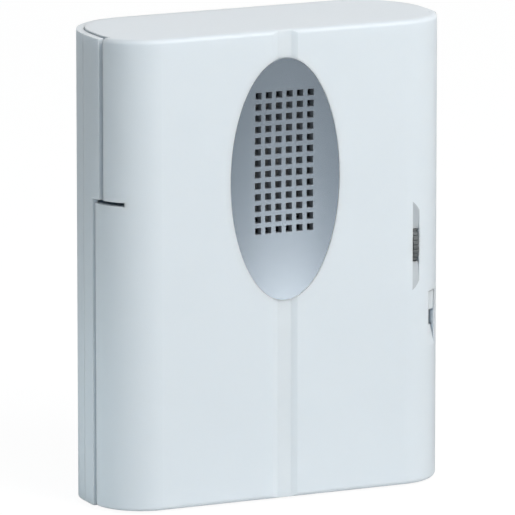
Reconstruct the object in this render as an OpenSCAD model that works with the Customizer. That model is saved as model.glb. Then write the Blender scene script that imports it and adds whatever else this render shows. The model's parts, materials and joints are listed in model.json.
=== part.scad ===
// Doorbell chime box for a wall: loudspeaker behind a dished oval grille, three cells below it.
// The wall is the plane Y = 0, the front faces -Y, Z is up, and the origin is the middle of the back.

/* [Case] */
// Width of the case
case_w = 110; // [109:1:124]
// Height of the case
case_h = 140; // [137:1:156]
// Depth from the wall to the front face
case_d = 43; // [41.5:0.5:50]
// Radius of the upright front corners
front_r = 15.5; // [15:0.25:17]
// Radius of the upright rear corners
rear_r = 21; // [18:0.5:23]
// Wall of the cover and of the base
wall = 2; // [1.7:0.1:2.2]
// Radius of the edge round the cover's top and bottom
edge_r = 1.4; // [0.6:0.1:1.6]
// Thickness of the base's back plate
back_t = 2.5; // [2.2:0.1:3.2]
// Distance of the fine line down the base's sides behind the front face
line_depth = 21.4; // [18:0.2:21.6]
// Width of the fine line
line_w = 0.4; // [0.2:0.05:0.6]
// Depth to which the fine line is cut
line_cut = 0.3; // [0.1:0.05:0.5]

/* [Seam between cover and base] */
// Depth of the cover's side walls above the step
seam_upper = 9.7; // [8.5:0.1:10.2]
// Depth of the cover's side walls below the step
seam_lower = 13.3; // [12.5:0.1:13.8]
// Height of the step over the middle of the case
step_z = 20.8; // [18:0.1:28]
// Width of the open seam
seam_gap = 1.8; // [0.8:0.1:2]
// Height of the side slit
slit_h = 1.2; // [0.8:0.1:1.5]
// Depth behind the front face at which the side slit ends
slit_end = 3.9; // [2.6:0.1:5]
// Distance of the cover's end plates from the wall
plate_stop = 4; // [3:0.5:6]
// Set-back of the cover's end plates behind the seam
plate_inset = 2.5; // [2.2:0.1:3.5]
// Drop of the base's rim below the cover's top plate
rim_drop = 0.5; // [0:0.1:1]
// Clearance between the cover's plates and lip faces and the base
case_fit = 0.3; // [0.2:0.05:0.4]
// Thickness of the lip inside the seam
lip_t = 1.2; // [1:0.1:1.4]
// Length of the lip in front of the seam
lip_l = 2.4; // [1.5:0.1:3]

/* [Front face] */
// Width of the oval grille
oval_w = 35.2; // [33:0.2:37]
// Height of the oval grille
oval_h = 72.2; // [70:0.2:75]
// Sides of the oval's outline
oval_sides = 72; // [48:8:96]
// Height of the oval's centre over the middle of the case
oval_z = 25.65; // [24:0.05:27]
// Recess of the grille's rim behind the front face
rim_recess = 0.2; // [0.1:0.05:0.5]
// Depth of the dish below its rim
dish_depth = 1.1; // [0.8:0.1:1.6]
// Width of the flat rim round the dish
rim_w = 0.5; // [0.4:0.05:0.8]
// Fit of the grille in its opening
grille_fit = 0.1; // [0.05:0.01:0.15]
// Width of the grille's flange behind the cover
grille_flange = 2.4; // [2.2:0.1:2.8]
// Thickness of the grille's flange
grille_flange_t = 1.6; // [1.4:0.1:1.8]
// Side of the square sound holes
hole_w = 2; // [1.6:0.1:2.4]
// Pitch of the sound holes
hole_pitch = 3.35; // [3.1:0.05:3.5]
// Columns of sound holes
hole_cols = 6; // [4:1:6]
// Rows of sound holes
hole_rows = 13; // [9:1:13]
// Height of the sound field's centre over the middle of the case
sound_z = 30.8; // [30:0.1:33]
// Radius of the stakes that hold the grille
stake_r = 0.8; // [0.6:0.05:0.85]
// Upright spacing of the stakes
stake_spacing = 12; // [8:1:13]
// Width of the groove down the front
groove_w = 8; // [6:0.5:10]
// Width of the groove's floor
groove_floor_w = 4.4; // [3:0.2:5]
// Depth of the groove
groove_depth = 0.6; // [0.4:0.05:1]

/* [Volume wheel] */
// Radius of the wheel
wheel_r = 9; // [8.5:0.1:9.3]
// Thickness of the wheel
wheel_t = 1.6; // [1.4:0.1:2]
// Distance of the wheel from the right side of the case
wheel_in = 12.25; // [11.75:0.05:12.5]
// Height of the wheel's axle over the board's lower edge
wheel_up = 10.7; // [10:0.1:12]
// Distance of the wheel's rim behind the front face
wheel_back = 0.2; // [0:0.05:0.6]
// Radius of the wheel's axle
axle_r = 2; // [1.6:0.1:2.4]
// Radial clearance of the axle in its control
axle_fit = 0.05; // [0.02:0.01:0.1]
// Length of the wheel's hub
hub_l = 1.1; // [0.8:0.1:1.3]
// Radius of the wheel's hub
hub_r = 4; // [3:0.25:5]
// Radius of the volume control
control_r = 6.5; // [5.5:0.25:7]
// Thickness of the volume control
control_t = 6; // [5:0.25:6.5]
// Height of the volume control's foot
control_foot = 6.8; // [5:0.2:8]
// Floor of the volume control's bore
control_floor = 1; // [0.8:0.1:1.4]
// Grip notches in the wheel's rim
wheel_notches = 40; // [24:2:48]
// Radius of a grip notch
notch_r = 0.35; // [0.2:0.05:0.4]
// Length of the scoop round the wheel
scoop_l = 23.4; // [20:0.2:25]
// Depth of the scoop's floor behind the front face
scoop_depth = 1.4; // [1.2:0.1:1.6]
// Clearance of the wheel's rim in its slot
wheel_gap = 0.35; // [0.3:0.05:0.5]
// Side clearance of the controls in their slots
slot_fit = 0.4; // [0.3:0.05:0.5]

/* [Tune slider] */
// Distance of the slider's slot from the right side of the case
slider_in = 7; // [6.8:0.1:7.4]
// Width of the slider's knob
knob_w = 2.4; // [2:0.1:2.6]
// Height of the slider's knob
knob_h = 5.2; // [4.6:0.2:6]
// Travel of the slider
slider_travel = 5; // [3:0.5:6]
// Length of the ramp below the slider's slot
ramp_l = 5.3; // [3:0.1:6]
// Depth of the ramp at the slot
ramp_depth = 1.4; // [1:0.1:1.6]
// Depth of the knob's face below the shoulder
knob_sunk = 0.3; // [0.2:0.1:0.8]
// Height of the knob's top over the board's lower edge, negative for below
slider_up = -4.4; // [-5:0.2:-4]
// Thickness of the slider's curved shutter
shutter_t = 1.1; // [0.8:0.1:1.2]
// Reach of the shutter to the left of the slot
shutter_reach = 2; // [1.5:0.1:2.4]
// Distance of the knob's rear face in front of the corner's axis
knob_rear = 4.5; // [4.2:0.1:5.5]
// Distance of the switch's middle to the left of the slot
switch_in = 2; // [1.8:0.1:2.2]
// Height of the slide switch
switch_h = 5; // [4:0.25:5.5]
// Width of the slide switch
switch_w = 6; // [4.5:0.25:6]
// Length of the slide switch
switch_l = 18; // [16:0.5:20]
// Floor of the slide switch
switch_floor = 1; // [0.6:0.1:1.4]
// Half height of the slider's stem and its width
stem_w = 2.6; // [2:0.1:3]
// Width of the slider's pin
pin_w = 1.2; // [0.8:0.1:1.6]
// Height of the slider's pin
pin_h = 3; // [2:0.25:4]

/* [Cells] */
// Radius of a cell's button
button_r = 3.2; // [2.6:0.1:3.6]
// Height of a cell's button
button_h = 1.5; // [1:0.1:1.8]
// Room for the contacts at each end of a cell
contact_room = 2.4; // [2:0.1:2.6]
// Thickness of the contact sheet
contact_t = 0.5; // [0.3:0.05:0.6]
// Width of the contact sheet
contact_w = 14; // [13.5:0.5:16]
// Width of a contact's springy tongue
tongue_w = 6; // [4:0.5:8]
// Reach of a contact's springy tongue to each side
tongue_l = 5.2; // [4:0.2:6]
// Play between a contact and its cell
contact_play = 0.2; // [0.1:0.05:0.3]
// Play round a cell, which fills the room beside and under the board
cell_fit = 0.4; // [0.3:0.05:0.5]
// Distance of the first cell from the left side of the case
cell_side = 6.7; // [6.4:0.1:7.2]
// Step from a cell's jacket to its ends
jacket_step = 0.4; // [0.2:0.1:0.6]
// Thickness of the ribs in the base
rib_t = 1.6; // [1.2:0.1:2]

/* [Circuit board] */
// Thickness of the board
board_t = 1.6; // [1:0.1:2]
// Height of the board's upper strip
board_h = 14; // [13:0.5:14.5]
// Drop of the board's top edge below the loudspeaker
board_drop = 0.3; // [0.2:0.1:0.6]
// Distance of the board's front from the front face
board_depth = 19.5; // [19.3:0.1:20.5]
// Clearance round the board
board_fit = 0.8; // [0.6:0.1:1.2]
// Width of the board's column behind the controls
column_w = 17.2; // [16.8:0.1:17.6]
// Reach of the column below the upper strip
column_l = 25.5; // [25:0.5:27]
// Radius of the board's posts
board_post_r = 3; // [2.6:0.1:3.4]
// Distance of the column's screw from the column's left edge
column_screw_in = 4.5; // [4:0.25:5]
// Distance of the column's screw from the column's lower edge
column_screw_up = 4; // [3.5:0.25:5]

/* [Parts on the board] */
// Width of a chip's body
chip_w = 6.4; // [6:0.1:6.8]
// Height of a chip's body
chip_h = 3.3; // [2.8:0.1:3.6]
// Height of a chip's body over the board
chip_lift = 0.5; // [0.3:0.1:0.8]
// Pitch of a chip's legs
leg_pitch = 2.54; // [2.4:0.01:2.6]
// Width of a chip's leg
leg_w = 0.6; // [0.4:0.1:0.8]
// Thickness of a chip's leg
leg_t = 0.8; // [0.6:0.1:0.9]
// Length of the tune chip
tune_chip_l = 19.6; // [18:0.2:20]
// Length of the amplifier chip
amplifier_l = 9.8; // [9:0.2:10]
// Radius of the big capacitor
big_can_r = 4; // [3:0.25:4.25]
// Height of the big capacitor
big_can_h = 11; // [8:0.5:12]
// Radius of the small capacitors
small_can_r = 2.5; // [2:0.1:2.6]
// Height of the small capacitors
small_can_h = 7; // [5:0.5:9]
// Upright spacing of the small capacitors
small_can_spacing = 6; // [5.6:0.2:7]
// Radius of the rolled groove round a capacitor
can_groove_r = 0.35; // [0.2:0.05:0.4]
// Distance of that groove below a capacitor's top
can_groove_drop = 1.5; // [1:0.1:2]
// Number of resistors
resistor_count = 3; // [1:1:3]
// Pitch of the resistors
resistor_pitch = 2.5; // [2.4:0.05:2.6]
// Radius of a resistor's ends
resistor_r = 1.1; // [0.9:0.05:1.15]
// Radius of a resistor's waist
waist_r = 0.8; // [0.6:0.05:0.85]
// Length of a resistor's body
resistor_l = 6.4; // [5.5:0.1:7]
// Length of a resistor's thick end
resistor_end = 1.6; // [1.2:0.1:1.8]
// Radius of a resistor's wire
wire_r = 0.3; // [0.25:0.05:0.4]
// Reach of a resistor's wire past its body
wire_reach = 1.4; // [1.1:0.1:1.6]
// Distance of the resistors below the upper strip
resistor_drop = 12; // [11:0.25:13]

/* [Terminal block] */
// Number of terminals
terminal_count = 3; // [2:1:3]
// Pitch of the terminals
terminal_pitch = 5; // [4.6:0.1:5.2]
// Depth of the block from top to bottom
terminal_d = 10; // [9:0.5:11]
// Height of the block over the board
terminal_h = 9.6; // [8.5:0.1:9.8]
// Distance of the block from the board's left edge
terminal_in = 1; // [0.8:0.1:1.2]
// Radius of a terminal screw
terminal_screw_r = 1.85; // [1.6:0.05:1.9]
// Play round a terminal screw
terminal_fit = 0.15; // [0.1:0.05:0.2]
// Depth of a terminal screw's well
terminal_well = 5; // [4.6:0.1:5.4]
// Length of a terminal screw
terminal_screw_l = 3.6; // [3:0.1:4]
// Radius of a wire hole
wire_hole_r = 1.5; // [1.2:0.1:1.7]
// Height of a wire hole over the board
wire_hole_up = 2.6; // [2.2:0.1:2.8]
// Shoulder of the block's sloped sides, from its ends
terminal_slope = 2.8; // [2:0.1:3.2]
// Drop of the block's sloped sides
terminal_drop = 3.8; // [3:0.1:4.4]

/* [Loudspeaker] */
// Radius of the loudspeaker's frame
speaker_r = 25; // [24.5:0.25:25.5]
// Depth of the frame's basket
basket_h = 8.5; // [7.5:0.25:9]
// Thickness of the frame's sheet
basket_t = 1; // [0.6:0.1:1.2]
// Radius of the magnet
magnet_r = 16; // [14:0.5:17]
// Thickness of the magnet
magnet_t = 6; // [4:0.5:8]
// Radius of the pole piece
pole_r = 6; // [5.5:0.1:6.2]
// Thickness of the front pole plate
pole_plate_t = 1.6; // [1.2:0.1:2]
// Thickness of the yoke
yoke_t = 2; // [1.5:0.1:2.5]
// Radial gap on each side of the voice coil
coil_gap = 0.4; // [0.3:0.05:0.5]
// Wall of the voice coil
coil_t = 0.55; // [0.4:0.05:0.7]
// Thickness of the cone's paper
cone_t = 0.5; // [0.4:0.05:0.6]
// Travel of the cone to each side
cone_travel = 0.4; // [0.2:0.1:0.5]
// Radius of the roll of the surround
roll_r = 1; // [0.8:0.05:1.1]
// Thickness of the gasket
gasket_t = 1.2; // [1:0.1:1.4]
// Thickness of the surround's sheet
land_t = 0.3; // [0.2:0.05:0.4]
// Width of the frame's flange
flange_w = 3.4; // [3:0.1:3.8]
// Distance of the roll's middle inside the flange
roll_in = 1.7; // [1.5:0.1:2]
// Radial gap between the cone and its surround
cone_gap = 0.35; // [0.3:0.05:0.45]
// Height of the cone's neck over the basket's floor
neck_up = 3; // [2.5:0.1:3.5]
// Height of the cone's neck
neck_h = 0.8; // [0.6:0.1:1]
// Radius of the dust cap's dome
cap_r = 11; // [10:0.25:13]
// Overlap of the dust cap past the voice coil
cap_over = 1.6; // [1.2:0.1:2]
// Reach of the voice coil past the magnet's rear face
coil_up = 2; // [1.5:0.1:3]
// Step from the magnet to the steel plates
plate_step = 1; // [0.5:0.1:1.5]
// Step from the magnet to the basket's foot
foot_step = 0.5; // [0.3:0.1:0.8]
// Radius of the windows in the basket
window_r = 2.85; // [2:0.05:3]
// Turn of the loudspeaker's posts from the level line
post_turn = 30; // [28:1:33]
// Distance of the posts outside the frame
post_out = 2.5; // [2.4:0.1:2.8]
// Width of the tag strip
tag_w = 12; // [11:0.5:14]
// Thickness of the tag strip
tag_t = 1.1; // [0.8:0.1:1.4]
// Reach of the tag strip outside the magnet
tag_out = 4.5; // [4:0.1:4.6]
// Grip of the tag strip under the basket's foot
tag_grip = 0.5; // [0.4:0.05:0.6]
// Spacing of the tag holes and of the leads on them
tag_spacing = 8; // [7.6:0.1:8.4]
// Radius of the tag holes
tag_hole_r = 0.7; // [0.5:0.05:0.9]

/* [Leads] */
// Radius of a lead
lead_r = 0.65; // [0.5:0.05:0.7]
// Sides of a lead's section
lead_sides = 8; // [8:2:12]
// Distance of the cells' leads to the left of their cell
lead_in = 6; // [5.8:0.1:6.2]
// Distance of the leads' ends below the board's upper edge
lead_drop = 1.9; // [1.6:0.1:2]

/* [Fixings] */
// Spacing of the upper wall screws
wall_screw_spacing = 50; // [44:1:54]
// Distance of the upper wall screws below the top
wall_screw_drop = 10; // [9:0.5:12]
// Distance of the lower wall screw above the bottom
wall_screw_rise = 18; // [14:0.5:30]
// Radius of the wall screw holes
wall_hole_r = 2.25; // [2:0.05:2.6]
// Radius of the cable entry
cable_r = 5; // [4:0.25:5.5]
// Distance of the cable entry to the left of the middle
cable_x = 27; // [25:0.5:27.5]
// Radius of a screw's shank
screw_r = 1.2; // [1:0.05:1.3]
// Radius of a screw's head
screw_head_r = 2.6; // [2.2:0.1:2.8]
// Height of a screw's head
screw_head_h = 1.5; // [1.2:0.1:1.6]
// Clearance round a shank
screw_fit = 0.1; // [0.05:0.01:0.15]
// Length of a shank in its post
screw_l = 9; // [6:0.5:12]
// Radius of the loudspeaker's posts
post_r = 3.5; // [3:0.1:3.8]
// Radius of the washers on the loudspeaker's posts
washer_r = 4.2; // [3.8:0.1:4.4]
// Thickness of the washers
washer_t = 0.8; // [0.6:0.1:0.9]

/* [Hidden] */
$fn = 96;

case_white = [0.86, 0.89, 0.91];
grille_silver = [0.62, 0.65, 0.68];
part_grey = [0.36, 0.38, 0.4];
steel = [0.72, 0.73, 0.74];
ferrite = [0.2, 0.2, 0.21];
dull_black = [0.13, 0.13, 0.14];
paper_grey = [0.52, 0.52, 0.53];
board_green = [0.1, 0.38, 0.22];
copper = [0.72, 0.45, 0.2];
cell_jacket = [0.16, 0.18, 0.2];
resistor_tan = [0.8, 0.7, 0.5];
lead_red = [0.7, 0.12, 0.1];

cut = 1;
front_y = -case_d;
half_w = case_w / 2;
half_h = case_h / 2;
inner_y = front_y + wall;
corner_x = half_w - front_r;
corner_y = front_y + front_r;
base_half_h = half_h - wall - case_fit;

oval_a = oval_w / 2;
oval_b = oval_h / 2;
grille_back = inner_y + grille_flange_t;
dish_r = arc_r(oval_b - grille_fit - rim_w, dish_depth);
dish_side_r = arc_r(oval_a - grille_fit - rim_w, dish_depth);

bay_floor = -base_half_h + wall;
board_front = front_y + board_depth;
board_back = board_front + board_t;
board_z1 = sound_z - speaker_r - board_drop;
board_z0 = board_z1 - board_h;
board_right = half_w - wall - 2 * board_fit;
board_left = -board_right + board_fit;
column_x0 = board_right - column_w;
column_z0 = board_z0 - column_l;
terminal_x0 = board_left + terminal_in;

bay_top = board_z0 - rib_t - board_fit;
bay_left = -half_w + 2 * wall;
bay_right = column_x0 - board_fit - rib_t;
cell_pitch = (bay_right + half_w - cell_side) / 3;
cell_r = cell_pitch / 2 - cell_fit;
cell_x = [for (i = [0 : 2]) cell_side - half_w + (i + 0.5) * cell_pitch];
cell_y = -back_t - cell_fit - cell_r;
cell_z0 = bay_floor + contact_room;
cell_z1 = bay_top - contact_room;
cell_l = cell_z1 - cell_z0;
bay_front = cell_y - cell_r - cell_fit;

wheel_x = half_w - wheel_in;
wheel_y = front_y + wheel_back + wheel_r;
wheel_z = board_z0 + wheel_up;
wheel_slot_w = wheel_t + 2 * slot_fit;
control_x1 = wheel_x - wheel_t / 2 - hub_l - slot_fit;
control_x0 = control_x1 - control_t;

strip_z = (board_z0 + board_z1) / 2;
strip_x0 = terminal_x0 + terminal_count * terminal_pitch;
strip_w = [2 * screw_head_r, tune_chip_l, amplifier_l, 2 * big_can_r, 2 * small_can_r, 2 * screw_head_r];
strip_gap = (control_x0 - strip_x0 - width_to(len(strip_w))) / (len(strip_w) + 1);
board_hole_r = screw_r + 3 * screw_fit;
board_screws_at = [
    [strip_x(0), strip_z],
    [strip_x(5), strip_z],
    [column_x0 + column_screw_in, column_z0 + column_screw_up]
];

slider_x = half_w - slider_in;
slot_w = knob_w + 2 * slot_fit;
knob_top = board_z0 + slider_up;
knob_z = knob_top - knob_h / 2;
slot_z1 = knob_top + slot_fit;
slot_z0 = knob_top - knob_h - slider_travel - slot_fit;
slot_back = corner_y - sqrt(pow(front_r - wall, 2) - pow(slider_x + slot_w - corner_x, 2)) + case_fit;
shutter_r = front_r - wall - slot_fit;
switch_x = slider_x - switch_in;
switch_z = knob_z - slider_travel / 2;
switch_front = board_front - switch_h;

gasket_front = -grille_back - case_fit;
flange_h = gasket_front - gasket_t - land_t;
basket_z = flange_h - basket_h;
basket_foot_r = magnet_r + foot_step;
basket_rim_r = speaker_r - flange_w;
plate_z = basket_z - pole_plate_t;
magnet_z = plate_z - magnet_t;
yoke_z = magnet_z - yoke_t;
coil_r = pole_r + coil_gap + coil_t;
plate_bore = coil_r + coil_gap;
roll_mid = basket_rim_r - roll_in;
cone_r = roll_mid - roll_r - land_t - cone_gap;
neck_z = basket_z + neck_up;
neck_top = neck_z + neck_h;
cone_slope = (flange_h - neck_top) / (cone_r - coil_r - cone_t);
post_ring = speaker_r + post_out;
tag_z = sound_z - magnet_r - tag_out;

// Width of the first parts on the board's strip
function width_to(n) = n == 0 ? 0 : strip_w[n - 1] + width_to(n - 1);

// Middle of a part on the board's strip, where all gaps are the same
function strip_x(n) = strip_x0 + width_to(n) + (n + 1) * strip_gap + strip_w[n] / 2;

// Radius of an arc over the given half chord and rise
function arc_r(half, rise) = (pow(half, 2) + pow(rise, 2)) / (2 * rise);

// Oval outline, grown by the given amount
module oval(grow = 0) {
    polygon([for (i = [0 : oval_sides - 1])
        let (turn = i * 360 / oval_sides)
        [(oval_a + grow) * cos(turn), oval_z + (oval_b + grow) * sin(turn)]]);
}

// Plan of the case, drawn in from its outside by the given amount
module case_plan(inset = 0) {
    w = half_w - inset;
    rf = front_r - inset;
    rr = rear_r - inset;
    y0 = front_y + inset;
    y1 = -inset;
    translate([-(w - rf), y0]) square([2 * (w - rf), case_d / 2]);
    translate([-w, y0 + rf]) square([2 * w, y1 - rr - y0 - rf]);
    translate([-(w - rr), -case_d / 2]) square([2 * (w - rr), y1 + case_d / 2]);
    for (side = [-1, 1]) {
        translate([side * (w - rf), y0 + rf]) circle(rf);
        translate([side * (w - rr), y1 - rr]) circle(rr);
    }
}

// Part of the case plan between two depths behind the front face
module plan_between(inset, depth0, depth1) {
    intersection() {
        case_plan(inset);
        translate([-half_w - cut, front_y + depth0]) square([case_w + 2 * cut, depth1 - depth0]);
    }
}

// Band of the case plan between two insets and two depths
module plan_band(inset0, inset1, depth0, depth1) {
    difference() {
        plan_between(inset0, depth0, depth1);
        case_plan(inset1);
    }
}

// Extrudes an X-Z outline forwards from the plane y0 by the given length
module forwards(y0, length) {
    translate([0, y0, 0]) rotate([90, 0, 0]) linear_extrude(length) children();
}

// Stands children on the plane y0 at a place given in X and Z, pointing forwards
module standing(place, y0) {
    translate([place[0], y0, place[1]]) rotate([90, 0, 0]) children();
}

// Puts children on the loudspeaker's axis, with their height measured from the wall
module on_speaker(height = 0) {
    standing([0, sound_z], -height) children();
}

// Box between two corners
module box(p0, p1) {
    translate(p0) cube(p1 - p0);
}

// Ring with a round bore
module ring(r, bore, height) {
    difference() {
        cylinder(r = r, h = height);
        translate([0, 0, -cut]) cylinder(r = bore, h = height + 2 * cut);
    }
}

// Puts children at the four posts of the loudspeaker
module at_posts() {
    for (turn = [post_turn, 180 - post_turn, 180 + post_turn, -post_turn])
        rotate([0, 0, turn]) translate([post_ring, 0, 0]) children();
}

// Screw with a cross slot, its head standing on Z = 0
module screw() {
    difference() {
        union() {
            cylinder(r = screw_head_r, h = screw_head_h, $fn = 48);
            translate([0, 0, -screw_l]) cylinder(r = screw_r, h = screw_l + screw_head_h / 2, $fn = 32);
        }
        for (turn = [0, 90])
            rotate([0, 0, turn]) translate([0, 0, screw_head_h])
                cube([screw_head_r, screw_r / 3, screw_head_h], center = true);
    }
}

// Side section of the cover's edge, from the corner's axis outwards
module edge_section() {
    translate([0, -half_h]) square([front_r - edge_r, case_h]);
    translate([0, -half_h + edge_r]) square([front_r, case_h - 2 * edge_r]);
    for (side = [-1, 1])
        translate([front_r - edge_r, side * (half_h - edge_r)]) circle(edge_r, $fn = 48);
}

module cover_block() {
    translate([0, corner_y, 0]) rotate([90, 0, -90])
        linear_extrude(2 * corner_x, center = true) edge_section();
    translate([corner_x, corner_y, 0]) rotate([0, 0, -90]) rotate_extrude(angle = 90) edge_section();
    translate([-corner_x, corner_y, 0]) rotate([0, 0, 180]) rotate_extrude(angle = 90) edge_section();
}

// Space that the front and sides of the cover fill, up to the stepped seam
module cover_reach() {
    x = half_w + cut;
    y = front_y - cut;
    z = half_h + cut;
    box([-x, y, -z], [x, front_y + seam_upper, z]);
    box([-x, y, -z], [x, front_y + seam_lower, step_z]);
}

module end_plate() {
    linear_extrude(wall) plan_between(plate_inset, plate_inset, case_d - plate_stop);
}

module groove_section() {
    slope = (groove_w - groove_floor_w) / 2 / groove_depth;
    outer = groove_w / 2 + cut * slope;
    polygon([
        [-outer, front_y - cut], [outer, front_y - cut],
        [groove_floor_w / 2, front_y + groove_depth], [-groove_floor_w / 2, front_y + groove_depth]
    ]);
}

module wheel_slot() {
    shoulder = front_r - sqrt(pow(front_r, 2) - pow(wheel_x - corner_x, 2));
    rise = scoop_depth - shoulder;
    scoop_r = arc_r(scoop_l / 2, rise);
    translate([wheel_x, front_y + scoop_depth - scoop_r, wheel_z]) rotate([0, 90, 0])
        cylinder(r = scoop_r, h = wheel_slot_w, center = true, $fn = 240);
    translate([wheel_x, wheel_y, wheel_z]) rotate([0, 90, 0])
        cylinder(r = wheel_r + wheel_gap, h = wheel_slot_w, center = true);
}

module slider_slot() {
    x1 = slider_x + slot_w;
    box([slider_x, front_y - cut, slot_z0], [x1, slot_back, slot_z1]);
    intersection() {
        box([slider_x, front_y - cut, slot_z0 - ramp_l], [x1, corner_y, slot_z0 + cut]);
        translate([corner_x, corner_y, 0]) rotate_extrude() polygon([
            [front_r, slot_z0 - ramp_l], [front_r + cut, slot_z0 - ramp_l], [front_r + cut, slot_z0 + cut],
            [front_r - ramp_depth, slot_z0 + cut], [front_r - ramp_depth, slot_z0]
        ]);
    }
}

module at_stakes() {
    for (side = [-1, 1], end = [-1, 1])
        translate([side * (oval_a + grille_flange / 2 - 2 * grille_fit), oval_z + end * stake_spacing / 2])
            children();
}

module cover_shell() {
    intersection() {
        cover_block();
        cover_reach();
    }
    translate([0, 0, half_h - wall]) end_plate();
    translate([0, 0, -half_h]) end_plate();
}

module front_cover() {
    color(case_white) {
        difference() {
            cover_shell();
            translate([0, 0, -half_h + wall]) linear_extrude(case_h - 2 * wall) case_plan(wall);
            forwards(inner_y + cut, wall + 2 * cut) oval();
            translate([0, 0, -half_h - cut]) linear_extrude(case_h + 2 * cut) groove_section();
            wheel_slot();
            slider_slot();
            box([-half_w - cut, front_y + slit_end, step_z], [-corner_x, 0, step_z + slit_h]);
        }
        forwards(grille_back, grille_flange_t + wall / 2) at_stakes() circle(stake_r, $fn = 32);
    }
}

module sound_holes() {
    for (col = [0 : hole_cols - 1], row = [0 : hole_rows - 1])
        translate([
            (col - (hole_cols - 1) / 2) * hole_pitch,
            sound_z + (row - (hole_rows - 1) / 2) * hole_pitch
        ]) square(hole_w, center = true);
}

// Section of the dish's hollow, at its distance from the dish's axis
module dish_section() {
    intersection() {
        translate([dish_r - dish_side_r, 0]) circle(dish_side_r, $fn = 360);
        translate([dish_r - oval_a, -oval_w]) square([2 * oval_a, 2 * oval_w]);
    }
}

module grille_inlay() {
    depth = wall + grille_flange_t;
    color(grille_silver) difference() {
        union() {
            forwards(grille_back, depth - rim_recess) oval(-grille_fit);
            forwards(grille_back, grille_flange_t) oval(grille_flange);
        }
        translate([0, front_y + rim_recess + dish_depth - dish_r, oval_z]) rotate([0, 90, 0])
            rotate_extrude($fn = 360) dish_section();
        forwards(grille_back + cut, depth + 2 * cut) sound_holes();
        forwards(grille_back + cut, grille_flange_t + 2 * cut)
            at_stakes() circle(stake_r + grille_fit, $fn = 32);
    }
}

// Lip that closes the seam from inside, between two heights
module side_lip(seam, z0, z1) {
    inset = wall + case_fit;
    translate([0, 0, z0]) linear_extrude(z1 - z0) {
        plan_band(inset, inset + lip_t, seam - lip_l, seam + seam_gap + lip_l);
        plan_band(wall / 2, inset + lip_t, seam + seam_gap, seam + seam_gap + lip_l);
    }
}

module base_lips() {
    difference() {
        union() {
            side_lip(seam_upper, step_z + slit_h + lip_t, base_half_h - wall);
            side_lip(seam_lower, bay_floor, step_z - lip_t);
        }
        box(
            [0, front_y, slot_z0 - slider_travel - lip_l],
            [half_w - wall, front_y + seam_lower + seam_gap + 2 * lip_l, slot_z1 + slider_travel + lip_l]
        );
    }
}

// Room for an end plate in the rim of the base, as wide at the mouth as inside
module plate_room() {
    x = half_w - plate_inset + case_fit;
    linear_extrude(wall + case_fit + cut) {
        plan_between(plate_inset - case_fit, 0, case_d - plate_stop + case_fit);
        translate([-x, front_y]) square([2 * x, front_r]);
    }
}

module base_tray() {
    upper_z = step_z + slit_h;
    difference() {
        union() {
            translate([0, 0, -half_h]) linear_extrude(upper_z + half_h)
                plan_between(0, seam_lower + seam_gap, case_d);
            translate([0, 0, upper_z]) linear_extrude(half_h - rim_drop - upper_z)
                plan_between(0, seam_upper + seam_gap, case_d);
        }
        for (side = [0, 1])
            mirror([0, 0, side]) translate([0, 0, base_half_h]) plate_room();
        translate([0, 0, bay_floor]) linear_extrude(-2 * bay_floor) plan_between(wall, 0, case_d - back_t);
        for (side = [-1, 1])
            translate([side * half_w, front_y + line_depth, 0])
                cube([2 * line_cut, line_w, case_h], center = true);
    }
}

// Puts children on the axes of the cells
module at_cells() {
    for (x = cell_x)
        translate([x, cell_y, 0]) children();
}

module bay_walls() {
    y = -back_t / 2;
    box([bay_left, bay_front, bay_top], [bay_right + rib_t, y, bay_top + rib_t]);
    box([bay_right, bay_front, bay_floor - wall / 2], [bay_right + rib_t, y, bay_top + rib_t]);
    difference() {
        for (z = [cell_z0 + cell_l / 4, cell_z1 - cell_l / 4])
            box([bay_left, cell_y, z], [bay_right + rib_t / 2, y, z + rib_t]);
        at_cells() translate([0, 0, cell_z0]) cylinder(r = cell_r + cell_fit, h = cell_l);
    }
}

module base_posts() {
    root = back_t / 2;
    on_speaker() difference() {
        at_posts() translate([0, 0, root]) cylinder(r = post_r, h = flange_h - root);
        translate([0, 0, flange_h - basket_t]) cylinder(r = speaker_r + case_fit, h = 2 * basket_t);
    }
    for (place = board_screws_at)
        standing(place, -root) cylinder(r = board_post_r, h = -board_back - root);
}

module base() {
    pilot_r = screw_r + screw_fit;
    pilot_l = screw_l + cut;
    color(case_white) difference() {
        union() {
            base_tray();
            base_lips();
            base_posts();
            intersection() {
                bay_walls();
                translate([0, 0, -base_half_h]) linear_extrude(2 * base_half_h) case_plan(wall / 2);
            }
        }
        on_speaker(flange_h - pilot_l) at_posts() cylinder(r = pilot_r, h = pilot_l + cut);
        for (place = board_screws_at)
            standing(place, board_back + pilot_l) cylinder(r = pilot_r, h = pilot_l + cut);
        for (side = [-1, 1])
            standing([side * wall_screw_spacing / 2, half_h - wall_screw_drop], cut)
                cylinder(r = wall_hole_r, h = back_t + 2 * cut);
        standing([0, -half_h + wall_screw_rise], cut) cylinder(r = wall_hole_r, h = back_t + 2 * cut);
        standing([-cable_x, sound_z], cut) cylinder(r = cable_r, h = back_t + 2 * cut);
    }
}

module speaker_frame() {
    color(steel) on_speaker() difference() {
        rotate_extrude() polygon([
            [speaker_r, flange_h], [speaker_r, flange_h - basket_t],
            [basket_rim_r + basket_t, flange_h - basket_t], [basket_foot_r, basket_z],
            [plate_bore, basket_z], [plate_bore, basket_z + basket_t],
            [basket_foot_r - basket_t / 2, basket_z + basket_t], [basket_rim_r, flange_h]
        ]);
        for (turn = [45 : 90 : 315])
            rotate([0, 0, turn]) translate([magnet_r / 2, 0, basket_z + basket_h / 2]) rotate([0, 90, 0])
                cylinder(r = window_r, h = speaker_r);
    }
}

module speaker_front_plate() {
    color(steel) on_speaker(plate_z) ring(magnet_r - plate_step, plate_bore, pole_plate_t);
}

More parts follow.
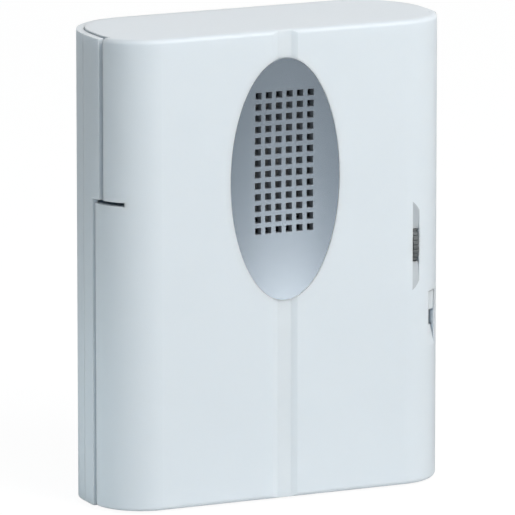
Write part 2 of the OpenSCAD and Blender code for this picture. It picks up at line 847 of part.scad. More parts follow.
module speaker_magnet() {
    color(ferrite) on_speaker(magnet_z) ring(magnet_r, plate_bore + plate_step, magnet_t);
}

module speaker_yoke() {
    color(steel) on_speaker(yoke_z) {
        cylinder(r = magnet_r - plate_step, h = yoke_t);
        cylinder(r = pole_r, h = yoke_t + magnet_t + pole_plate_t);
    }
}

module voice_coil() {
    color(copper) on_speaker(magnet_z + coil_up)
        ring(coil_r, pole_r + coil_gap, neck_top - magnet_z - coil_up);
}

module speaker_cone() {
    color(paper_grey) on_speaker() rotate_extrude() polygon([
        [coil_r, neck_z], [coil_r + 2 * cone_t, neck_z], [cone_r, flange_h - cone_t],
        [cone_r, flange_h], [coil_r + cone_t, neck_top], [coil_r, neck_top]
    ]);
}

module dust_cap() {
    cap_w = coil_r + cap_over;
    seat = neck_top + cone_slope * (cap_over - cone_t);
    color(paper_grey) on_speaker(seat) rotate_extrude() intersection() {
        translate([0, -sqrt(pow(cap_r, 2) - pow(cap_w, 2))]) difference() {
            circle(cap_r);
            circle(cap_r - cone_t);
        }
        square([cap_w, cap_r]);
    }
}

module speaker_surround() {
    land_r = post_ring - washer_r - case_fit;
    color(dull_black) on_speaker(flange_h) rotate_extrude() {
        translate([roll_mid, 0]) intersection() {
            difference() {
                circle(roll_r + land_t, $fn = 48);
                circle(roll_r, $fn = 48);
            }
            translate([-2 * roll_r, 0]) square([4 * roll_r, 2 * roll_r]);
        }
        translate([roll_mid + roll_r, 0]) square([land_r - roll_mid - roll_r, land_t]);
    }
}

module speaker_gasket() {
    color(part_grey) on_speaker(flange_h + land_t) difference() {
        ring(speaker_r - land_t, basket_rim_r + land_t, gasket_t);
        at_posts() translate([0, 0, -cut]) cylinder(r = washer_r + case_fit, h = gasket_t + 2 * cut);
    }
}

module speaker_tag_strip() {
    color(copper) difference() {
        box([-tag_w / 2, -basket_z, tag_z], [tag_w / 2, -basket_z + tag_t, sound_z - magnet_r + tag_grip]);
        for (side = [-1, 1])
            standing([side * tag_spacing / 2, tag_z + tag_out / 2], -basket_z + tag_t + cut)
                cylinder(r = tag_hole_r, h = tag_t + 2 * cut, $fn = 24);
    }
}

module speaker_washers() {
    color(steel) on_speaker(flange_h) at_posts() ring(washer_r, screw_r + screw_fit, washer_t);
}

module speaker_screws() {
    color(steel) on_speaker(flange_h + washer_t) at_posts() screw();
}

module circuit_board() {
    color(board_green) difference() {
        forwards(board_back, board_t) {
            translate([board_left, board_z0]) square([board_right - board_left, board_h]);
            translate([column_x0, column_z0]) square([column_w, column_l + cut]);
        }
        for (place = board_screws_at)
            standing(place, board_back + cut) cylinder(r = board_hole_r, h = board_t + 2 * cut);
    }
}

module board_screws() {
    color(steel) for (place = board_screws_at)
        standing(place, board_front) screw();
}

// Chip with two rows of legs, its middle at the given X on the board's strip
module chip(x, length, legs) {
    leg_h = chip_lift + chip_h / 2;
    translate([x, board_front, strip_z]) {
        translate([0, -leg_h, 0]) cube([length, chip_h, chip_w], center = true);
        for (i = [0 : legs - 1], side = [-1, 1])
            translate([(i - (legs - 1) / 2) * leg_pitch, -leg_h / 2, side * chip_w / 2])
                cube([leg_w, leg_h, leg_t], center = true);
    }
}

module tune_chip() {
    color(dull_black) chip(strip_x(1), tune_chip_l, 7);
}

module amplifier_chip() {
    color(dull_black) chip(strip_x(2), amplifier_l, 4);
}

module can(place, r, height) {
    standing(place, board_front) difference() {
        cylinder(r = r, h = height);
        translate([0, 0, height - can_groove_drop]) rotate_extrude()
            translate([r, 0]) circle(can_groove_r, $fn = 16);
    }
}

module capacitors() {
    color(part_grey) {
        can([strip_x(3), strip_z], big_can_r, big_can_h);
        for (side = [-1, 1])
            can([strip_x(4), strip_z + side * small_can_spacing / 2], small_can_r, small_can_h);
    }
}

// Resistor along Z with its bent wires down to the board
module resistor() {
    lift = resistor_r;
    translate([0, -lift, -resistor_l / 2]) {
        rotate_extrude() {
            square([waist_r, resistor_l]);
            square([resistor_r, resistor_end]);
            translate([0, resistor_l - resistor_end]) square([resistor_r, resistor_end]);
        }
        translate([0, 0, -wire_reach]) cylinder(r = wire_r, h = resistor_l + 2 * wire_reach, $fn = 16);
    }
    for (end = [-1, 1])
        standing([0, end * (resistor_l / 2 + wire_reach - wire_r)], 0)
            cylinder(r = wire_r, h = lift, $fn = 16);
}

module resistors() {
    color(resistor_tan) for (i = [0 : resistor_count - 1])
        translate([column_x0 + resistor_pitch * (i + 0.75), board_front, board_z0 - resistor_drop])
            resistor();
}

module terminal_block() {
    d = terminal_d;
    h = terminal_h;
    color(part_grey) difference() {
        translate([terminal_x0, board_front, strip_z - d / 2]) rotate([90, 0, 90])
            linear_extrude(terminal_count * terminal_pitch) polygon([
                [0, 0], [0, d], [terminal_drop - h, d], [-h, d - terminal_slope],
                [-h, terminal_slope], [terminal_drop - h, 0]
            ]);
        at_terminals() {
            standing([0, 0], board_front - h + terminal_well)
                cylinder(r = terminal_screw_r + terminal_fit, h = terminal_well + cut, $fn = 32);
            translate([0, board_front - wire_hole_up, 0]) cylinder(r = wire_hole_r, h = d, $fn = 32);
        }
    }
}

// Puts children at the middle of each terminal
module at_terminals() {
    for (i = [0 : terminal_count - 1])
        translate([terminal_x0 + (i + 0.5) * terminal_pitch, 0, strip_z]) children();
}

module terminal_screws() {
    slot_t = terminal_screw_r / 3;
    color(steel) at_terminals()
        standing([0, 0], board_front - terminal_h + terminal_well) difference() {
            cylinder(r = terminal_screw_r, h = terminal_screw_l, $fn = 32);
            translate([0, 0, terminal_screw_l])
                cube([3 * terminal_screw_r, slot_t, 2 * slot_t], center = true);
        }
}

module volume_control() {
    inset = slot_fit;
    color(part_grey) difference() {
        union() {
            translate([control_x0, wheel_y, wheel_z]) rotate([0, 90, 0])
                cylinder(r = control_r, h = control_t);
            box(
                [control_x0 + inset, wheel_y, wheel_z - control_foot / 2],
                [control_x1 - inset, board_front, wheel_z + control_foot / 2 - wheel_t]
            );
        }
        translate([control_x0 + control_floor, wheel_y, wheel_z]) rotate([0, 90, 0])
            cylinder(r = axle_r + axle_fit, h = control_t);
    }
}

module volume_wheel() {
    axle_l = wheel_x - control_x0 - control_floor - slot_fit;
    color(part_grey) translate([wheel_x, wheel_y, wheel_z]) rotate([0, 90, 0]) {
        difference() {
            cylinder(r = wheel_r, h = wheel_t, center = true);
            for (i = [0 : wheel_notches - 1])
                rotate([0, 0, i * 360 / wheel_notches]) translate([wheel_r, 0, 0])
                    cylinder(r = notch_r, h = wheel_t + cut, center = true, $fn = 16);
        }
        translate([0, 0, -wheel_t / 2 - hub_l]) cylinder(r = hub_r, h = hub_l + wheel_t / 2);
        translate([0, 0, -axle_l]) cylinder(r = axle_r, h = axle_l);
    }
}

module tune_switch() {
    slot_x = pin_w / 2 + slot_fit;
    slot_z = (slider_travel + pin_h) / 2 + slot_fit;
    color(steel) difference() {
        box(
            [switch_x - switch_w / 2, switch_front, switch_z - switch_l / 2],
            [switch_x + switch_w / 2, board_front, switch_z + switch_l / 2]
        );
        box(
            [switch_x - slot_x, switch_front - cut, switch_z - slot_z],
            [switch_x + slot_x, board_front - switch_floor, switch_z + slot_z]
        );
    }
}

// Part of a band round the right front corner, between two X values and in front of y1
module corner_band(r0, r1, x0, x1, y1) {
    intersection() {
        translate([corner_x, corner_y]) difference() {
            circle(r1);
            circle(r0);
        }
        translate([x0, front_y]) square([x1 - x0, y1 - front_y]);
    }
}

module tune_slider() {
    mid_r = shutter_r - shutter_t / 2;
    stem_front = corner_y - sqrt(pow(mid_r, 2) - pow(slider_x - corner_x, 2));
    stem_back = switch_front - slot_fit;
    knob_x = slider_x + slot_fit;
    shutter_x = slider_x - shutter_reach;
    color(case_white) {
        translate([0, 0, slot_z0 - slot_fit])
            linear_extrude(slot_z1 - slot_z0 + slider_travel + 2 * slot_fit)
                corner_band(shutter_r - shutter_t, shutter_r, shutter_x, half_w, corner_y - slot_fit);
        translate([0, 0, knob_top - knob_h]) linear_extrude(knob_h)
            corner_band(mid_r, front_r - knob_sunk, knob_x, knob_x + knob_w, corner_y - knob_rear);
        box([switch_x - stem_w / 2, stem_front, knob_z - stem_w], [slider_x, stem_back, knob_z + stem_w]);
        box(
            [switch_x - pin_w / 2, stem_back - cut, knob_z - pin_h / 2],
            [switch_x + pin_w / 2, board_front - 2 * switch_floor, knob_z + pin_h / 2]
        );
    }
}

// Cell standing on Z = 0 with its button on top
module cell() {
    body_l = cell_l - button_h;
    cylinder(r = cell_r - 2 * jacket_step, h = body_l);
    translate([0, 0, jacket_step]) cylinder(r = cell_r, h = body_l - 2 * jacket_step);
    cylinder(r = button_r, h = cell_l);
}

module cells() {
    color(cell_jacket) {
        translate([cell_x[0], cell_y, cell_z0]) cell();
        translate([cell_x[1], cell_y, cell_z1]) rotate([180, 0, 0]) cell();
        translate([cell_x[2], cell_y, cell_z0]) cell();
    }
}

// Contact sheet over the cells first to last, on Z = 0
module contact_sheet(first, last) {
    w = contact_w / 2;
    box([cell_x[first] - w, cell_y - w, 0], [cell_x[last] + w, cell_y + w, contact_t]);
}

// Stud that meets a cell's button
module contact_stud(i) {
    translate([cell_x[i], cell_y, 0]) cylinder(r = button_r, h = contact_room - contact_play);
}

// Springy tongue that meets a cell's flat end
module contact_tongue(i) {
    top = contact_room - contact_play;
    translate([cell_x[i] - tongue_w / 2, cell_y, 0]) rotate([90, 0, 90]) linear_extrude(tongue_w) polygon([
        [-tongue_l, 0], [0, top - contact_t], [tongue_l, 2 * contact_t],
        [tongue_l, 3 * contact_t], [0, top], [-tongue_l, contact_t]
    ]);
}

module upper_contacts() {
    color(steel) translate([0, 0, bay_top]) mirror([0, 0, 1]) {
        contact_sheet(0, 0);
        contact_stud(0);
        contact_sheet(1, 2);
        contact_tongue(1);
        contact_stud(2);
    }
}

module lower_contacts() {
    color(steel) translate([0, 0, bay_floor]) {
        contact_sheet(0, 1);
        contact_tongue(0);
        contact_stud(1);
        contact_sheet(2, 2);
        contact_tongue(2);
    }
}

// Ring of points round one point of a lead that lies in a plane of constant X
function lead_ring(points, i) =
    let (
        before = points[max(i - 1, 0)],
        after = points[min(i + 1, len(points) - 1)],
        along = (after - before) / norm(after - before)
    )
    [for (k = [0 : lead_sides - 1])
        let (turn = k * 360 / lead_sides)
        points[i] + lead_r * [cos(turn), -sin(turn) * along[2], sin(turn) * along[1]]];

// Round lead along points given as Y and Z, at the given X
module lead(x, path) {
    points = [for (p = path) [x, p[0], p[1]]];
    rings = [for (i = [0 : len(points) - 1]) each lead_ring(points, i)];
    last = (len(points) - 1) * lead_sides;
    sides = [for (i = [0 : len(points) - 2], k = [0 : lead_sides - 1], half = [0, 1])
        let (a = i * lead_sides + k, b = i * lead_sides + (k + 1) % lead_sides)
        half == 0 ? [a, b, b + lead_sides] : [a, b + lead_sides, a + lead_sides]];
    ends = [
        [for (k = [lead_sides - 1 : -1 : 0]) k],
        [for (k = [0 : lead_sides - 1]) last + k]
    ];
    polyhedron(rings, concat(sides, ends));
}

module speaker_leads() {
    tag_y = -basket_z + tag_t / 2;
    end_z = board_z1 - lead_drop;
    fall = tag_z - end_z;
    color(lead_red) for (side = [-1, 1])
        lead(side * tag_spacing / 2, [
            [tag_y, tag_z], [tag_y, tag_z - fall * 0.2], [tag_y + lead_r / 3, tag_z - fall * 0.45],
            [tag_y + lead_r, tag_z - fall * 0.7], [board_front - 4 * lead_r, tag_z - fall * 0.92],
            [board_front - 2 * lead_r, end_z], [board_front, end_z]
        ]);
}

module cell_leads() {
    plate_y = cell_y - contact_w / 2;
    z0 = bay_top - lead_r;
    z1 = bay_top + rib_t + 3 * lead_r;
    bend = 3 * lead_r;
    color(lead_red) for (i = [0, 2])
        lead(cell_x[i] - lead_in, [
            [plate_y, z0], [plate_y - bend, z0], [bay_front, z0],
            [bay_front - bend * 0.8, z0 + bend * 0.35], [bay_front - bend, (z0 + z1) / 2],
            [bay_front - bend * 0.8, z1 - bend * 0.35], [bay_front, z1],
            [board_front - bend, z1], [board_front, z1]
        ]);
}

front_cover();
grille_inlay();
base();
speaker_frame();
speaker_front_plate();
speaker_magnet();
speaker_yoke();
speaker_surround();
speaker_gasket();
speaker_tag_strip();
speaker_washers();
speaker_screws();
speaker_leads();
voice_coil();
speaker_cone();
dust_cap();
circuit_board();
board_screws();
tune_chip();
amplifier_chip();
capacitors();
resistors();
terminal_block();
terminal_screws();
volume_control();
volume_wheel();
tune_switch();
tune_slider();
cells();
upper_contacts();
lower_contacts();
cell_leads();
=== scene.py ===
import json
import math

import bpy
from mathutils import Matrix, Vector


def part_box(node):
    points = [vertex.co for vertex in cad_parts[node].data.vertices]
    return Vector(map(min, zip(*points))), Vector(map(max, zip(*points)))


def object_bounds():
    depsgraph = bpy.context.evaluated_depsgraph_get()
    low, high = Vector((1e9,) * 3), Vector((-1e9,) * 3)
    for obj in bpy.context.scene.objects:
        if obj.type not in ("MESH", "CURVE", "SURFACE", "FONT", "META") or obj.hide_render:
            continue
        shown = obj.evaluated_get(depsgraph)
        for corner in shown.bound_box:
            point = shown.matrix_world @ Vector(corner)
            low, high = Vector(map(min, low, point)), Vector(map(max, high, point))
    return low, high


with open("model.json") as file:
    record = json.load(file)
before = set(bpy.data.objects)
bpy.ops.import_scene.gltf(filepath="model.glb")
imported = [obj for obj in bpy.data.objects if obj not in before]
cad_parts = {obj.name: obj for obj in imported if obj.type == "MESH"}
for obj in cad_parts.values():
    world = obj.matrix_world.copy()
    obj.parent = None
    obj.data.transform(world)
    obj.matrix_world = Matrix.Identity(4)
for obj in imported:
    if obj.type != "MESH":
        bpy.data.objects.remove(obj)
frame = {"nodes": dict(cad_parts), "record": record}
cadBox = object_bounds()
nodes = frame["nodes"]
slotOf = {part["node"]: part["material_slot"] for part in frame["record"]["subparts"]}
print("frame loaded with", len(nodes), "nodes")


class Flow:
    # a shader socket that takes part in plain sums
    def __init__(self, tree, socket=None):
        self.tree = tree
        self.socket = socket

    def node(self, kind, settings=None, inputs=None, output=0):
        made = self.tree.nodes.new(kind)
        for name, value in (settings or {}).items():
            setattr(made, name, value)
        for name, value in (inputs or {}).items():
            self.feed(made.inputs[name], value)
        return Flow(self.tree, made.outputs[output])

    def feed(self, target, value):
        if isinstance(value, Flow):
            self.tree.links.new(value.socket, target)
        else:
            target.default_value = value

    def sum(self, operation, *values):
        return self.node("ShaderNodeMath", {"operation": operation}, dict(enumerate(values)))

    def __add__(self, other): return self.sum("ADD", self, other)
    def __radd__(self, other): return self.sum("ADD", other, self)
    def __sub__(self, other): return self.sum("SUBTRACT", self, other)
    def __rsub__(self, other): return self.sum("SUBTRACT", other, self)
    def __mul__(self, other): return self.sum("MULTIPLY", self, other)
    def __rmul__(self, other): return self.sum("MULTIPLY", other, self)
    def over(self, other): return self.sum("MAXIMUM", self, other)
    def beyond(self, other): return self.sum("GREATER_THAN", self, other)
    def size(self): return self.sum("ABSOLUTE", self)
    def wave(self): return self.sum("SINE", self)
    def root(self): return self.sum("SQRT", self)
    def within(self, reach): return 1 - self.size().beyond(reach)


def objectPlace(flow):
    return flow.node("ShaderNodeTexCoord", output="Object")


def along(flow, axis):
    return flow.node("ShaderNodeSeparateXYZ", inputs={0: objectPlace(flow)}, output=axis)


def facingFront(flow):
    faces = flow.node("ShaderNodeTexCoord", output="Normal")
    return -1 * flow.node("ShaderNodeSeparateXYZ", inputs={0: faces}, output="Y")


def noise(flow, scale, detail):
    return flow.node("ShaderNodeTexNoise", inputs={
        "Vector": objectPlace(flow), "Scale": scale, "Detail": detail}, output="Fac")


def blendColours(flow, mask, first, second):
    pair = [c if isinstance(c, Flow) else (*c, 1) for c in (first, second)]
    return flow.node("ShaderNodeMix", {"data_type": "RGBA"}, {
        "Factor": mask, 6: pair[0], 7: pair[1]}, output=2)  # 6 and 7 are the colour sockets


# every finish: colour, gloss, and how far the colour and the surface vary over the piece;
# edge is the radius of worn edges, depth how far light goes in, cornerShade the tone of the painted shade in
# corners
finishes = {
    "case_plastic": dict(colour=(0.735, 0.79, 0.84), rough=0.42, vary=0.012, grain=2800, bump=0.1,
                         edge=0.00028, depth=0.0022, cornerShade=0.86),
    "silver_plastic": dict(colour=(0.45, 0.52, 0.61), rough=0.23, metal=0.9, vary=0.03, grain=2600, bump=0.05),
    "grey_plastic": dict(colour=(0.105, 0.115, 0.12), rough=0.45, vary=0.06, grain=1500, bump=0.1, edge=0.00012),
    "black_plastic": dict(colour=(0.018, 0.018, 0.02), rough=0.5, vary=0.1, grain=1800, bump=0.1, edge=0.0001),
    "terminal_plastic": dict(colour=(0.03, 0.1, 0.2), rough=0.35, vary=0.05, grain=1200, bump=0.05, edge=0.00015),
    "steel": dict(colour=(0.56, 0.56, 0.57), rough=0.34, metal=1.0, vary=0.08, grain=1400, bump=0.06, edge=0.0001),
    "ferrite": dict(colour=(0.035, 0.035, 0.038), rough=0.55, vary=0.12, grain=2200, bump=0.12, edge=0.0002),
    "black_rubber": dict(colour=(0.016, 0.016, 0.017), rough=0.7, vary=0.1, grain=2000, bump=0.1),
    "cone_paper": dict(colour=(0.36, 0.37, 0.385), rough=0.85, vary=0.1, grain=2600, bump=0.3),
    "copper": dict(colour=(0.5, 0.2, 0.075), rough=0.35, metal=1.0, vary=0.1, grain=3000, bump=0.15),
    "brown_board": dict(colour=(0.2, 0.1, 0.035), rough=0.7, vary=0.15, grain=2000, bump=0.1),
    "green_board": dict(colour=(0.012, 0.1, 0.045), rough=0.35, vary=0.12, grain=500, bump=0.04),
    "capacitor_can": dict(colour=(0.02, 0.026, 0.06), rough=0.3, vary=0.05, grain=900, bump=0.03, edge=0.0003),
    "resistor_body": dict(colour=(0.5, 0.34, 0.17), rough=0.4, vary=0.06, grain=1200, bump=0.04),
    "cell_jacket": dict(colour=(0.05, 0.055, 0.062), rough=0.3, vary=0.05, grain=700, bump=0.03, edge=0.0003),
    "red_lead": dict(colour=(0.42, 0.018, 0.012), rough=0.42, vary=0.05, grain=1500, bump=0.05),
}
metals = dict(steel=(0.56, 0.56, 0.57), tin=(0.62, 0.62, 0.6), aluminium=(0.7, 0.7, 0.71))


# marks on a finish give what they change: its tone, its share of metal, its relief or its normal
def cellMarks(flow, tone):
    look = dict(band=(0.34, 0.37, 0.4), bandFrom=0.0085, line=(0.6, 0.62, 0.64), lineHalf=0.0005,
                jacketTop=0.0231, jacketFoot=0.0246)
    low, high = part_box("cells")
    radius = (high[1] - low[1]) / 2
    pitch = (high[0] - low[0]) / 2 - radius
    turned = (along(flow, "X") - (low[0] + high[0]) / 2).within(pitch / 2)  # the middle cell is upside down
    rise = (along(flow, "Z") - (low[2] + high[2]) / 2) * (1 - 2 * turned)
    ends = rise.beyond(look["jacketTop"]).over((-1 * rise).beyond(look["jacketFoot"]))
    tone = blendColours(flow, rise.beyond(look["bandFrom"]), tone, look["band"])
    tone = blendColours(flow, (rise - look["bandFrom"]).within(look["lineHalf"]), tone, look["line"])
    return dict(tone=blendColours(flow, ends, tone, metals["steel"]), metal=ends)


def boardMarks(flow, tone):
    look = dict(track=(0.03, 0.19, 0.085), width=0.0173, height=0.00127, gap=0.00024, blur=0.1, shift=0.31,
                shiftRows=3, trackRelief=0.5, pad=0.00254, padRadius=0.00068, padGroups=160, padBare=0.53)
    flat = flow.node("ShaderNodeMapping", inputs={"Vector": objectPlace(flow), "Rotation": (math.pi / 2, 0, 0)})
    tracks = flow.node("ShaderNodeTexBrick", {"offset": look["shift"], "offset_frequency": look["shiftRows"]}, {
        "Vector": flat, "Scale": 1.0, "Mortar Size": look["gap"], "Mortar Smooth": look["blur"],
        "Brick Width": look["width"], "Row Height": look["height"]}, output="Fac")
    fromPad = [flow.sum("PINGPONG", along(flow, axis), look["pad"] / 2) for axis in ("X", "Z")]
    pads = 1 - (fromPad[0] * fromPad[0] + fromPad[1] * fromPad[1]).root().beyond(look["padRadius"])
    pads = pads * noise(flow, look["padGroups"], 1.0).beyond(look["padBare"])
    tone = blendColours(flow, tracks, tone, look["track"])
    return dict(tone=blendColours(flow, pads, tone, metals["tin"]), metal=pads,
                relief=tracks * look["trackRelief"] + pads)


def canMarks(flow, tone):
    look = dict(topFacing=0.9)
    tops = facingFront(flow).beyond(look["topFacing"])
    return dict(tone=blendColours(flow, tops, tone, metals["aluminium"]), metal=tops)


def resistorMarks(flow, tone):
    look = dict(bandHalf=0.00035, bodyHalf=0.0032, bands={
        -0.0022: (0.09, 0.03, 0.012), -0.0008: (0.012, 0.011, 0.01),
        0.0006: (0.3, 0.02, 0.012), 0.0022: (0.42, 0.27, 0.06)})
    low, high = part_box("resistors")
    rise = along(flow, "Z") - (low[2] + high[2]) / 2
    for place, colour in look["bands"].items():
        tone = blendColours(flow, (rise - place).within(look["bandHalf"]), tone, colour)
    wires = rise.size().beyond(look["bodyHalf"])
    return dict(tone=blendColours(flow, wires, tone, metals["tin"]), metal=wires)


# painted shade darkens the floor of the scoop round the thumbwheel
def coverMarks(flow, tone):
    look = dict(middle=(0.04275, -0.1061, 0.0022), radius=0.0645, half=0.00122, deep=0.00012, shade=0.68)
    back, rise = along(flow, "Y") - look["middle"][1], along(flow, "Z") - look["middle"][2]
    floor = ((back * back + rise * rise).root() - look["radius"]).within(look["deep"])
    scoop = floor * (along(flow, "X") - look["middle"][0]).within(look["half"])
    # painted shade: the scoop floor takes a darker tone of the case colour
    paintedScoopShade = [c * look["shade"] for c in finishes["case_plastic"]["colour"]]
    return dict(tone=blendColours(flow, scoop, tone, paintedScoopShade))


# the silver is painted on the face only, and its shine follows the dish out to the edge;
# the bare moulding is white at the rim and the back, and the hole walls get a dark grey that is painted shade
def inlayMarks(flow, tone):
    look = dict(holes=(0.25, 0.27, 0.3), across=0.0105, up=0.0225, middle=0.0308, faceFrom=0.5,
                radius=0.573, sideRadius=0.1319, rise=0.02565)
    facing = facingFront(flow)
    side, rise = along(flow, "X"), along(flow, "Z")
    painted = facing.beyond(look["faceFrom"])
    holes = facing.within(look["faceFrom"]) * side.within(look["across"])
    holes = holes * (rise - look["middle"]).within(look["up"])
    # painted shade: the hole walls take a dark grey instead of the white moulding
    bare = blendColours(flow, holes, finishes["case_plastic"]["colour"], look["holes"])
    hollow = flow.node("ShaderNodeCombineXYZ", inputs={
        "X": side * (-1 / look["sideRadius"]), "Y": -1.0, "Z": (rise - look["rise"]) * (-1 / look["radius"])})
    dish = flow.node("ShaderNodeVectorTransform", {
        "vector_type": "NORMAL", "convert_from": "OBJECT", "convert_to": "WORLD"}, {"Vector": hollow})
    shine = flow.node("ShaderNodeMix", {"data_type": "VECTOR"}, {
        "Factor": painted, 4: flow.node("ShaderNodeNewGeometry", output="Normal"), 5: dish}, output=1)
    return dict(tone=blendColours(flow, painted, bare, tone), normal=shine,
                metal=painted * finishes["silver_plastic"]["metal"])


def chipMarks(flow, tone):
    look = dict(bodyHalf=0.00322)
    low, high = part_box("tune_chip")
    legs = (along(flow, "Z") - (low[2] + high[2]) / 2).size().beyond(look["bodyHalf"])
    return dict(tone=blendColours(flow, legs, tone, metals["tin"]), metal=legs)


# pressed rings round the loudspeaker's axis
def coneMarks(flow, tone):
    look = dict(ring=0.0026, relief=2.0)
    low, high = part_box("speaker_cone")
    side, rise = along(flow, "X"), along(flow, "Z") - (low[2] + high[2]) / 2
    reach = (side * side + rise * rise).root()
    return dict(relief=(reach * (2 * math.pi / look["ring"])).wave() * look["relief"])


def coilMarks(flow, tone):
    look = dict(wire=0.0003, relief=1.5)
    return dict(relief=(along(flow, "Y") * (2 * math.pi / look["wire"])).wave() * look["relief"])


# what all finishes share: clouds of tone, specks of gloss and height, painted shade in corners and depth where a
# finish has them
skin = dict(cloudShare=0.02, cloudDetail=4.0, speckDetail=2.0, glossVary=0.08, height=0.0001, edgeSamples=6,
            cornerShadeReach=0.003, cornerShadeSamples=8, depthWeight=0.9)


def makeFinish(name, colour, rough, vary, grain, bump, metal=0.0, edge=0.0, depth=0.0, cornerShade=1.0, marks=None):
    material = bpy.data.materials.new(name)
    material.use_nodes = True
    shader = material.node_tree.nodes["Principled BSDF"]
    flow = Flow(material.node_tree)
    cloud = noise(flow, grain * skin["cloudShare"], skin["cloudDetail"])
    speck = noise(flow, grain, skin["speckDetail"])
    tone = blendColours(flow, cloud, [c * (1 - vary) for c in colour], [c * (1 + vary) for c in colour])
    marked = marks(flow, tone) if marks else {}
    tone = marked.get("tone", tone)
    # painted shade: the tone darkens where nearby surfaces close in, in corners, seams and slots
    if cornerShade < 1:
        openness = flow.node("ShaderNodeAmbientOcclusion", {"samples": skin["cornerShadeSamples"]}, {
            "Distance": skin["cornerShadeReach"]}, output="AO")
        tone = blendColours(flow, openness, [c * cornerShade for c in colour], tone)
    if depth:
        flow.feed(shader.inputs["Subsurface Weight"], skin["depthWeight"])
        flow.feed(shader.inputs["Subsurface Radius"], (1, 1, 1))
        flow.feed(shader.inputs["Subsurface Scale"], depth)
    flow.feed(shader.inputs["Base Color"], tone)
    flow.feed(shader.inputs["Metallic"], marked.get("metal", metal))
    flow.feed(shader.inputs["Roughness"], rough + (speck - 0.5) * skin["glossVary"])
    surface = {"Strength": bump, "Distance": skin["height"], "Height": speck + marked.get("relief", 0.0)}
    if "normal" in marked:
        surface["Normal"] = marked["normal"]
    elif edge:
        surface["Normal"] = flow.node("ShaderNodeBevel", {"samples": skin["edgeSamples"]}, {"Radius": edge})
    flow.feed(shader.inputs["Normal"], flow.node("ShaderNodeBump", inputs=surface))
    return material


# pieces whose finish differs from the rest of their slot
pieceMarks = {
    "cells": cellMarks, "circuit_board": boardMarks, "capacitors": canMarks, "resistors": resistorMarks,
    "front_cover": coverMarks, "grille_inlay": inlayMarks, "tune_chip": chipMarks, "amplifier_chip": chipMarks,
    "speaker_cone": coneMarks, "voice_coil": coilMarks,
}
materials = {slot: makeFinish(slot, **settings) for slot, settings in finishes.items()}
for name in nodes:
    slot = slotOf[name]
    finish = materials[slot]
    if name in pieceMarks:
        finish = makeFinish(slot + "." + name, **finishes[slot], marks=pieceMarks[name])
    nodes[name].data.materials.clear()
    nodes[name].data.materials.append(finish)
print("finishes on", len(nodes), "nodes")


# studio: pale floor, white surroundings and soft lamps
studio = dict(floorDrop=0.0008, floorSize=6.0, floorColour=0.9, white=1.07, whiteShare=0.88,
              skyDiffuse=0.165, skyColour=(0.88, 0.97, 1))
# what a shiny surface sees of the floor: dim beside the object, white further off
sheen = dict(near=0.4, far=1.2, dim=0.125, bright=1.0, colour=(0.9, 0.97, 1, 1))
# a lamp without glint gives no highlight
lamps = {
    "studio.key": dict(azimuth=26, elevation=43, distance=1.6, wide=0.9, tall=0.9, radiance=5.62),
    "studio.front": dict(azimuth=0, elevation=22, distance=1.6, wide=0.6, tall=0.6, radiance=0.7),
    "studio.top": dict(azimuth=10, elevation=78, distance=1.2, wide=0.7, tall=0.7, radiance=1.55),
    "studio.left": dict(azimuth=-40, elevation=8, distance=1.5, wide=0.6, tall=0.6, radiance=1.7,
                        colour=(0.84, 0.96, 1)),
    "studio.low": dict(azimuth=-98, elevation=-22, distance=0.15, wide=0.08, tall=0.02, radiance=4.9,
                       colour=(0.86, 0.97, 1), glint=False),
    "studio.card": dict(azimuth=25, elevation=4.5, distance=1.2, wide=0.4, tall=0.3, radiance=5.1,
                        colour=(1, 0.95, 0.86)),
    "studio.rear": dict(azimuth=155, elevation=32, distance=1.5, wide=0.7, tall=0.7, radiance=1.0),
}


def lightPath(flow, output):
    return flow.node("ShaderNodeLightPath", output=output)


def makeFloor():
    place = (0, 0, cadBox[0][2] - studio["floorDrop"])
    bpy.ops.mesh.primitive_plane_add(size=studio["floorSize"], location=place)
    floor = bpy.context.active_object
    floor.name = "studio.floor"
    bpy.ops.object.transform_apply(location=True)
    material = bpy.data.materials.new("studioFloor")
    material.use_nodes = True
    tree = material.node_tree
    tree.nodes.remove(tree.nodes["Principled BSDF"])
    flow = Flow(tree)
    shade = studio["floorColour"]
    matt = flow.node("ShaderNodeBsdfDiffuse", inputs={"Color": (shade, shade, shade, 1)})
    white = flow.node("ShaderNodeEmission", inputs={"Strength": studio["white"]})
    reach = flow.node("ShaderNodeVectorMath", {"operation": "LENGTH"}, {0: objectPlace(flow)}, output="Value")
    glow = flow.node("ShaderNodeMapRange", {"interpolation_type": "SMOOTHSTEP"}, {
        "Value": reach, "From Min": sheen["near"], "From Max": sheen["far"],
        "To Min": sheen["dim"], "To Max": sheen["bright"]})
    mirrored = flow.node("ShaderNodeEmission", inputs={"Color": sheen["colour"], "Strength": glow})
    seen = flow.node("ShaderNodeMixShader", inputs={
        0: lightPath(flow, "Is Camera Ray") * studio["whiteShare"], 1: matt, 2: white})
    mixed = flow.node("ShaderNodeMixShader", inputs={0: lightPath(flow, "Is Glossy Ray"), 1: seen, 2: mirrored})
    flow.feed(tree.nodes["Material Output"].inputs["Surface"], mixed)
    floor.data.materials.append(material)


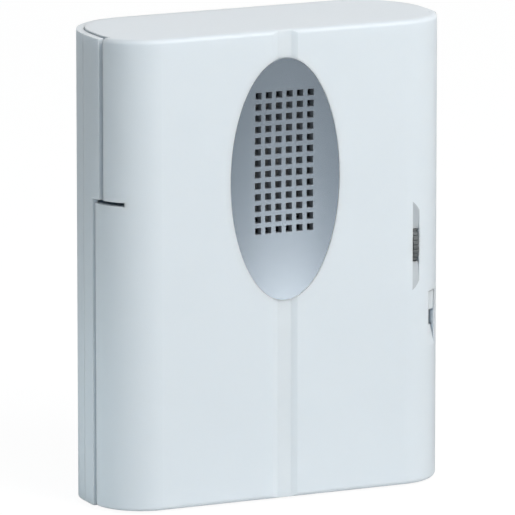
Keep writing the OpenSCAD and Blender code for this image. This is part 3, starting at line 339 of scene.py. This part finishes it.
def makeSky():
    world = bpy.data.worlds.new("studioSky")
    world.use_nodes = True
    bpy.context.scene.world = world
    flow = Flow(world.node_tree)
    background = world.node_tree.nodes["Background"]
    direct = lightPath(flow, "Is Camera Ray").over(lightPath(flow, "Is Glossy Ray"))
    direct = direct.over(lightPath(flow, "Is Transmission Ray"))
    flow.feed(background.inputs["Color"], blendColours(flow, direct, studio["skyColour"], (1, 1, 1)))
    flow.feed(background.inputs["Strength"], direct * (1 - studio["skyDiffuse"]) + studio["skyDiffuse"])


def towards(azimuth, elevation):
    turn, lift = math.radians(azimuth), math.radians(elevation)
    return Vector((math.sin(turn) * math.cos(lift), -math.cos(turn) * math.cos(lift), math.sin(lift)))


def makeLamp(name, azimuth, elevation, distance, wide, tall, radiance, colour=(1, 1, 1), glint=True):
    middle = (Vector(cadBox[0]) + Vector(cadBox[1])) / 2
    bpy.ops.object.light_add(type="AREA", location=middle + towards(azimuth, elevation) * distance)
    lamp = bpy.context.active_object
    lamp.name = name
    lamp.data.shape = "RECTANGLE"
    lamp.data.size = wide
    lamp.data.size_y = tall
    lamp.data.energy = radiance * math.pi * wide * tall
    lamp.data.color = colour
    lamp.visible_glossy = glint
    lamp.rotation_euler = (middle - lamp.location).to_track_quat("-Z", "Y").to_euler()


makeFloor()
makeSky()
for name, settings in lamps.items():
    makeLamp(name, **settings)
print("studio lit")


# camera fitted to the photograph's view: place in metres, focal length and side in its pixels, sensor in mm
lens = dict(place=(-0.92062, -2.0177, 0.45105), azimuth=-24.781, elevation=11.637, focal=7595.6, side=515,
            sensor=36, nearest=0.01)
bpy.ops.object.camera_add(location=lens["place"])
camera = bpy.context.active_object
camera.data.sensor_width = lens["sensor"]
camera.data.lens = lens["sensor"] * lens["focal"] / lens["side"]
camera.data.clip_start = lens["nearest"]
camera.rotation_euler = (-towards(lens["azimuth"], lens["elevation"])).to_track_quat("-Z", "Y").to_euler()
bpy.context.scene.camera = camera
bpy.context.scene.view_settings.view_transform = "Standard"
print("camera set")
